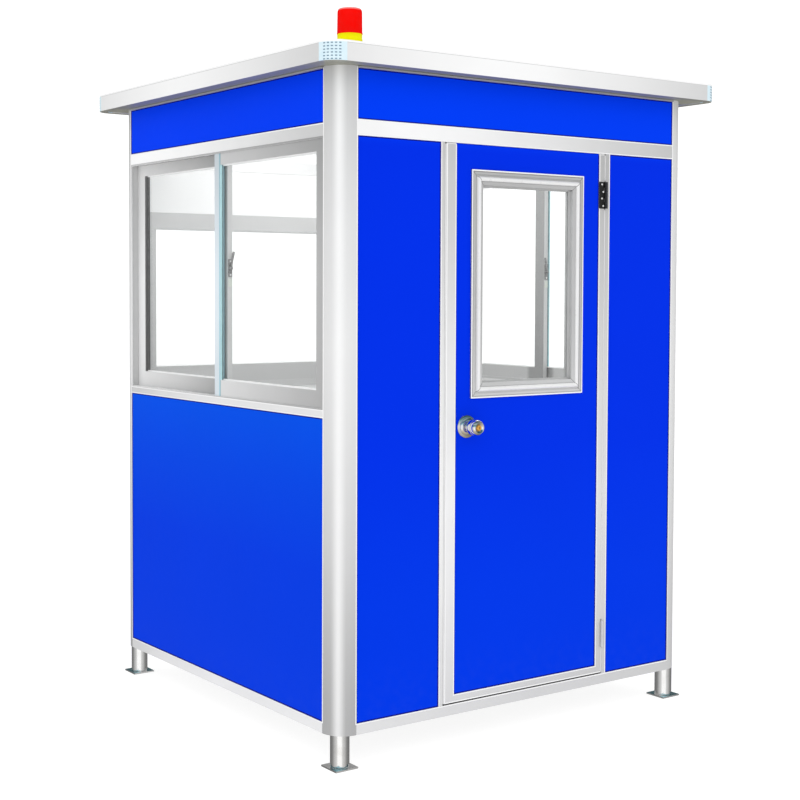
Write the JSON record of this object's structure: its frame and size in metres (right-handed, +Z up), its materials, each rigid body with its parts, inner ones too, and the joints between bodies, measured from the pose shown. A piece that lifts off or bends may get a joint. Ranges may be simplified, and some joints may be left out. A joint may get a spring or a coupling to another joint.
{
  "type": "security guard booth",
  "caption": "Square panelled guard cabin on four short pipe legs, with a hinged glazed door with a knob, sliding side windows, a fixed back window, a flat overhanging roof and a warning light.",
  "frame": {"origin": "on the ground under the middle of the cabin and of its roof", "axes": "+Z up; the door is in the front wall, which faces -Y; +X runs along the front from the handle side to the hinge side"},
  "size_m": [1.654, 1.604, 2.316],
  "materials": {
    "blue_panel": "smooth blue coated steel skin on a sandwich panel",
    "frame_aluminium": "satin silver-white anodised extrusion",
    "post_aluminium": "satin silver-white anodised quarter-round extrusion",
    "window_aluminium": "satin natural aluminium window section",
    "trim_aluminium": "polished moulded aluminium trim",
    "clear_glass": "clear float glass",
    "leg_steel": "galvanised steel pipe and plate",
    "floor": "grey floor board on a steel subframe",
    "roof_panel": "light grey coated steel skin on a sandwich panel",
    "roof_trim": "white coated aluminium edge trim",
    "corner_plastic": "pale ice-blue moulded plastic",
    "light_base_plastic": "yellow moulded plastic",
    "red_lens": "translucent red moulded plastic",
    "hinge_steel": "satin stainless steel",
    "catch_metal": "cast zinc, satin",
    "knob_steel": "polished stainless steel"
  },
  "bodies": {
    "booth": {"leg_front_left": "leg_steel", "leg_front_right": "leg_steel", "leg_back_left": "leg_steel", "leg_back_right": "leg_steel", "post_front_left": "post_aluminium", "post_front_right": "post_aluminium", "post_back_left": "post_aluminium", "post_back_right": "post_aluminium", "base_beams": "frame_aluminium", "floor_panel": "floor", "panel_left_lower": "blue_panel", "panel_right_lower": "blue_panel", "panel_back_lower": "blue_panel", "panel_back_upper": "blue_panel", "panel_front_left": "blue_panel", "panel_front_right": "blue_panel", "sill_rails": "frame_aluminium", "header_beams": "frame_aluminium", "frieze_panels": "blue_panel", "door_jamb_left": "frame_aluminium", "door_jamb_right": "frame_aluminium", "window_frame_left": "window_aluminium", "window_frame_right": "window_aluminium", "window_frame_back": "window_aluminium", "left_sash_outer": "window_aluminium", "left_sash_inner": "window_aluminium", "right_sash_outer": "window_aluminium", "right_sash_inner": "window_aluminium", "left_window_glass": "clear_glass", "right_window_glass": "clear_glass", "back_window_glass": "clear_glass", "window_catches": "catch_metal", "roof_panel": "roof_panel", "roof_fascia": "roof_trim", "roof_corner_caps": "corner_plastic", "warning_light_base": "light_base_plastic", "warning_light_lens": "red_lens", "jamb_hinge_leaves": "hinge_steel"},
    "door": {"door_hinge_leaves": "hinge_steel", "door_frame": "frame_aluminium", "door_panel": "blue_panel", "door_window_trim": "trim_aluminium", "door_glass": "clear_glass", "door_knob_roses": "knob_steel"},
    "knob": {"door_knob": "knob_steel"}
  },
  "joints": [
    {"name": "door_swing", "type": "hinge", "parent": "booth", "child": "door", "pos_m": [0.35, -0.7305, 1.031], "axis": [0, 0, 1], "range_deg": [0, 160]},
    {"name": "knob_turn", "type": "hinge", "parent": "door", "child": "knob", "pos_m": [-0.2495, -0.725, 1.025], "axis": [0, 1, 0], "range_deg": [-60, 60], "stiffness_Nm_per_rad": 0.3}
  ]
}
